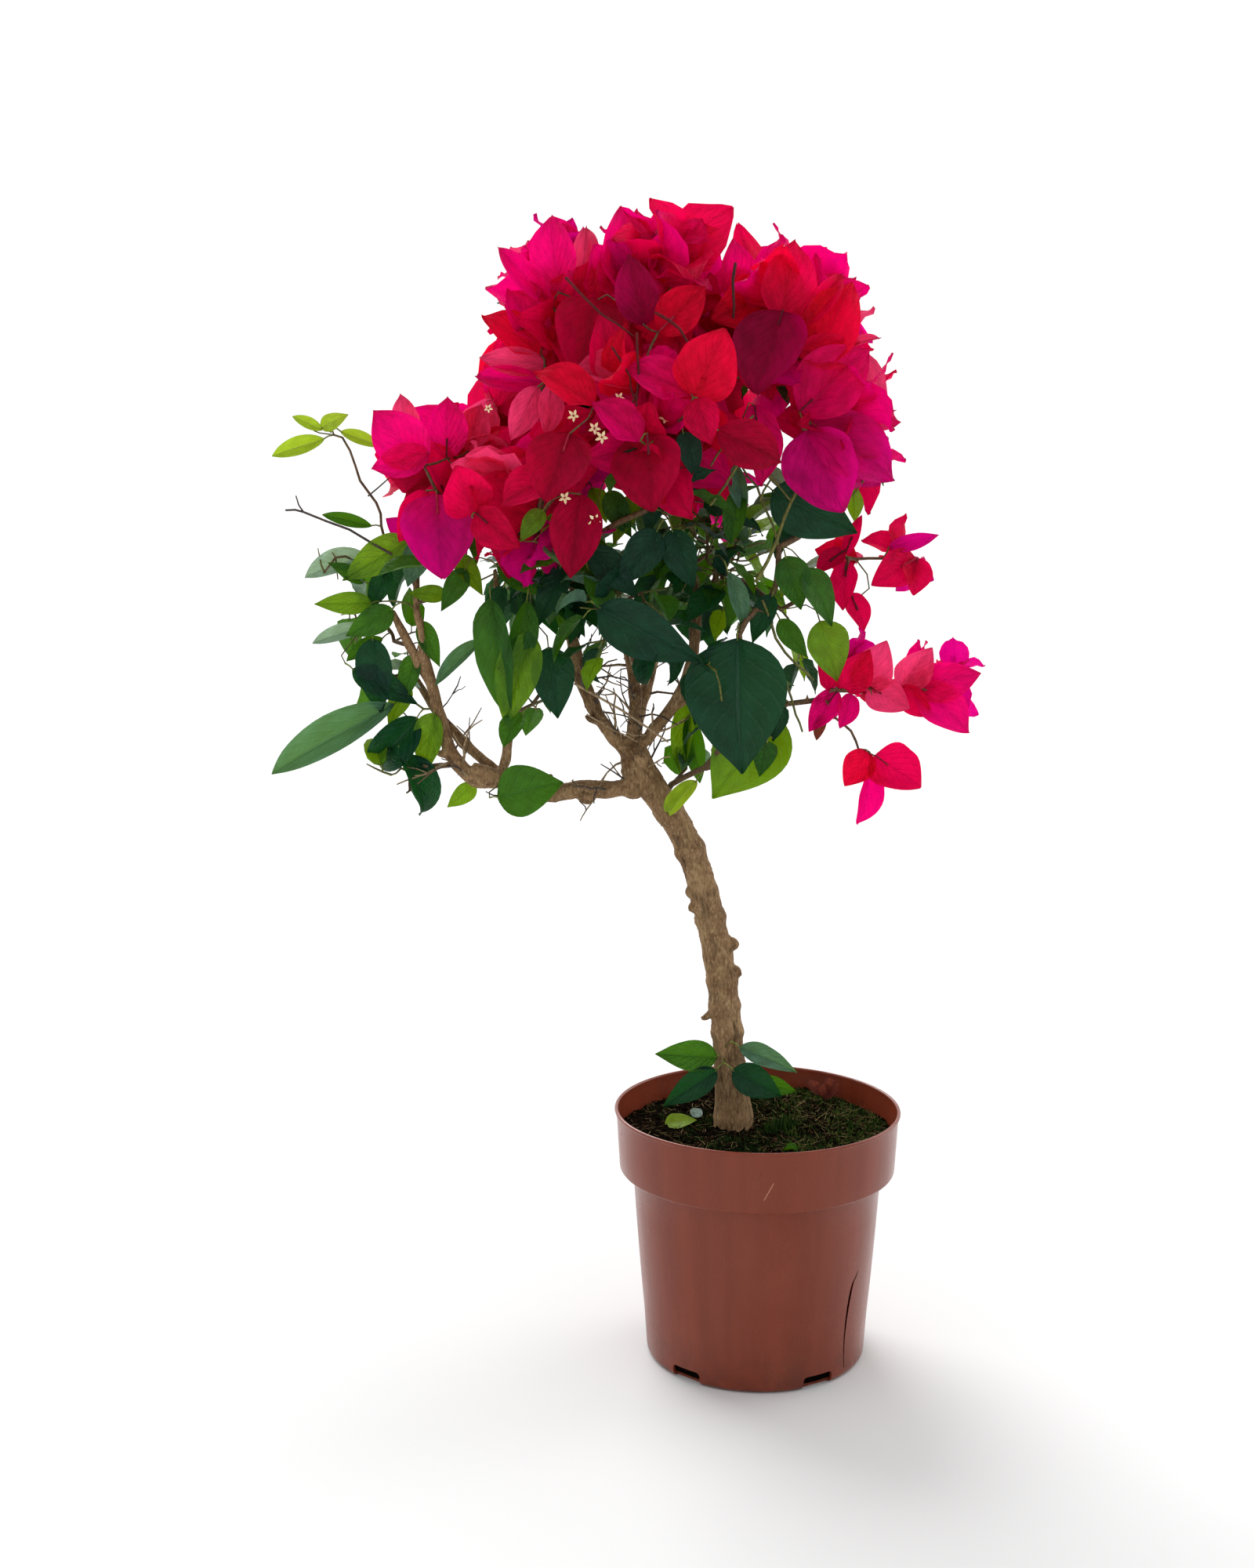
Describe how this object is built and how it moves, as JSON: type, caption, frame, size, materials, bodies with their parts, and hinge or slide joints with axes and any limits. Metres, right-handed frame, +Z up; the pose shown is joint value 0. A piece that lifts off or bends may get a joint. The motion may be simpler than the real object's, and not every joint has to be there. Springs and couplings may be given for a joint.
{
  "type": "potted bougainvillea bush",
  "caption": "Bougainvillea bush in flower, trained as a small standard on one bare stem with a side limb, standing in a round plastic nursery pot.",
  "frame": {"origin": "middle of the pot's flat underside, on the surface the pot stands on", "axes": "+Z up along the pot's axis; the side limb and the longer side of the crown reach towards -X; the side that shows the boughs best faces -Y"},
  "size_m": [0.4215, 0.222, 0.668],
  "materials": {
    "pot_plastic": "thin moulded plastic in a terracotta brown, satin, faint rub marks",
    "peat": "moist peat compost, crumbly and matt, partly under green moss",
    "bark": "grey-brown bark with lengthwise ridges, knots and pruning stubs",
    "young_wood": "smooth green-brown young shoots with short thorns",
    "bracts": "papery petal-like bracts, magenta to crimson, thin enough to glow against the light",
    "leaves": "smooth dark green leaves with a paler midrib, satin above",
    "young_leaves": "thin yellow-green young leaves"
  },
  "bodies": {
    "root": {"pot": "pot_plastic", "soil": "peat", "trunk": "bark", "limb_left_low": "bark", "limb_left_up": "bark", "limb_left_back": "bark", "bough_left_outer": "bark", "bough_left_inner": "bark", "bough_left_riser": "bark", "bough_up_left": "bark", "bough_up_middle": "bark", "bough_right": "bark", "bough_back": "bark", "sprig_stem": "young_wood", "twig_right_upper": "young_wood", "twig_hanging": "young_wood", "blossom_top_left": "bracts", "blossom_top": "bracts", "blossom_top_right": "bracts", "blossom_top_back": "bracts", "blossom_left": "bracts", "blossom_left_front": "bracts", "blossom_centre": "bracts", "blossom_right": "bracts", "blossom_back_left": "bracts", "blossom_back_middle": "bracts", "blossom_back_right": "bracts", "blossom_right_inner": "bracts", "blossom_right_upper": "bracts", "blossom_right_low": "bracts", "blossom_right_tip": "bracts", "blossom_hanging": "bracts", "leaves_core_left": "leaves", "leaves_core_right": "leaves", "leaves_back_left": "leaves", "leaves_back_right": "leaves", "leaves_front": "leaves", "leaves_right_upper": "leaves", "leaves_right": "leaves", "leaves_right_front": "leaves", "leaves_right_under": "leaves", "leaves_left_upper": "leaves", "leaves_left_mid": "leaves", "leaves_left_low": "leaves", "leaves_left_tip": "leaves", "leaves_left_hanging": "leaves", "leaves_sprig": "young_leaves", "leaves_riser": "leaves", "leaves_middle": "leaves", "leaves_limb": "leaves", "leaves_trunk": "young_leaves", "leaves_fork": "leaves", "leaves_basal_left": "leaves", "leaves_basal_right": "leaves"}
  },
  "joints": []
}
